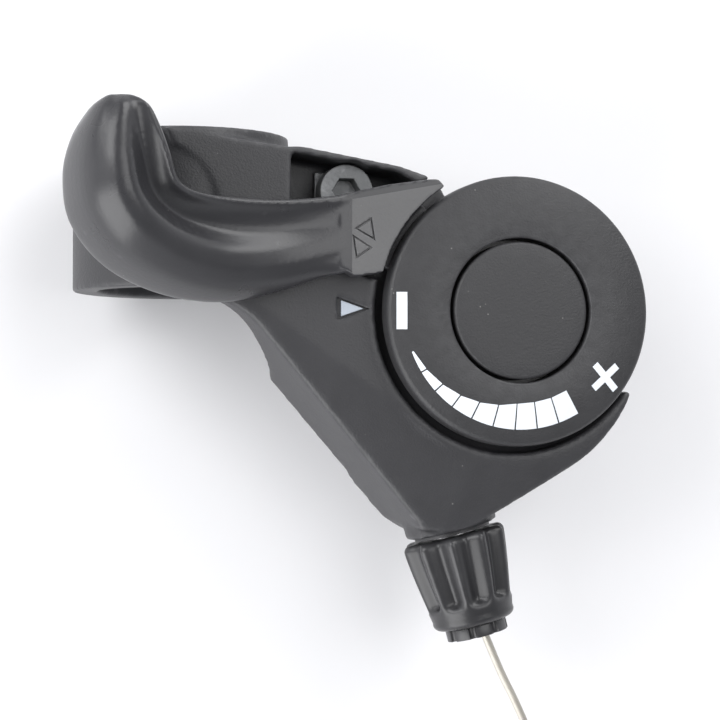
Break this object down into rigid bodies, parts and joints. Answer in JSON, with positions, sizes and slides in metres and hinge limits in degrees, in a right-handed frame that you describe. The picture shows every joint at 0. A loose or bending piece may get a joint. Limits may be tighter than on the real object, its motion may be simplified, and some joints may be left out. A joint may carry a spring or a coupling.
{
  "type": "thumb shifter",
  "caption": "Bicycle thumb shifter: handlebar clamp, curved thumb lever, round indicator dial and a fluted barrel adjuster with its inner gear wire.",
  "frame": {"origin": "centre of the handlebar bore, half way along the clamp ring", "axes": "+Y along the handlebar bore, +X from the bore towards the dial, +Z along the lever's axle, out of the dial"},
  "size_m": [0.0807, 0.1393, 0.0435],
  "materials": {
    "body_plastic": "satin",
    "lever_plastic": "satin",
    "dial_plastic": "matte",
    "knob_plastic": "satin",
    "scale_paint": "satin",
    "inlay_paint": "satin",
    "tie_plastic": "satin",
    "acetal": "satin",
    "steel": "satin",
    "wire_steel": "satin",
    "brass": "satin",
    "alloy": "satin"
  },
  "bodies": {
    "shifter_body": {"housing": "body_plastic", "base_cover": "body_plastic", "cover_screws": "steel", "clamp_bolt": "steel", "clamp_washer": "steel", "clamp_nut": "steel", "pivot_axle": "steel", "pivot_bush": "brass", "thrust_washer": "acetal", "keeper_washer": "steel", "keeper_screw": "steel", "click_spring": "steel", "spring_pin": "steel", "pointer_inlay": "inlay_paint", "thread_insert": "brass", "detent_washer": "steel", "inner_wire": "wire_steel", "gear_wire": "wire_steel", "wire_coil": "wire_steel", "coil_tie": "tie_plastic", "wire_end_cap": "alloy"},
    "lever_group": {"lever": "lever_plastic", "indicator_disc": "dial_plastic", "scale_marks": "scale_paint", "centre_cap": "dial_plastic", "cable_drum": "acetal", "index_plate": "steel", "wire_nipple": "steel", "wound_wire": "wire_steel"},
    "knob": {"adjuster_knob": "knob_plastic"},
    "barrel_bolt": {"adjuster_bolt": "alloy"}
  },
  "joints": [
    {"name": "lever_turn", "type": "hinge", "parent": "shifter_body", "child": "lever_group", "pos_m": [0.0426, -0.0134, 0], "axis": [0, 0, -1], "range_deg": [0, 144], "deforming": ["click_spring"]},
    {"name": "knob_turn", "type": "hinge", "parent": "shifter_body", "child": "knob", "pos_m": [0.0366, -0.0433, 0.006], "axis": [0.2504, -0.9681, 0], "range_deg": [0, 1260]},
    {"name": "bolt_travel", "type": "slide", "parent": "shifter_body", "child": "barrel_bolt", "axis": [0.2504, -0.9681, 0], "range_m": [0, 0.0035], "deforming": ["inner_wire"]}
  ],
  "couplings": [
    {"joint": "bolt_travel", "follows": "knob_turn", "m_per_rad": 0.00015914}
  ]
}
